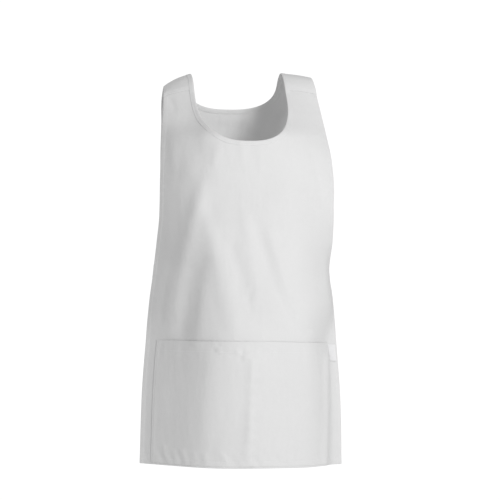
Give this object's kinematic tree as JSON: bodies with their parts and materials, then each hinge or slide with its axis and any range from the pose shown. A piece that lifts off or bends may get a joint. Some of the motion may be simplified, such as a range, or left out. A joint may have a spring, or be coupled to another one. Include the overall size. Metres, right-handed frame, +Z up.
{
  "type": "cobbler apron",
  "caption": "White poly-cotton cobbler apron with a U neck, open sides closed by snapped waist tabs, and a wide two-part patch pocket across the front hem.",
  "frame": {"origin": "middle of the shoulder rest, between the two straps", "axes": "+Z up along the wearer's body, -Y towards the front, +X towards the wearer's left"},
  "size_m": [0.3831, 0.2676, 0.7392],
  "materials": {
    "cloth": "plain white poly-cotton twill, matt",
    "label": "smooth woven label, bare",
    "snap": "nickel-plated snap cap"
  },
  "bodies": {
    "root": {"front_panel": "cloth", "back_panel": "cloth", "neck_binding": "cloth", "pocket": "cloth", "pocket_label": "label", "side_tab_left": "cloth", "side_tab_right": "cloth", "snap_left": "snap", "snap_right": "snap"}
  },
  "joints": []
}
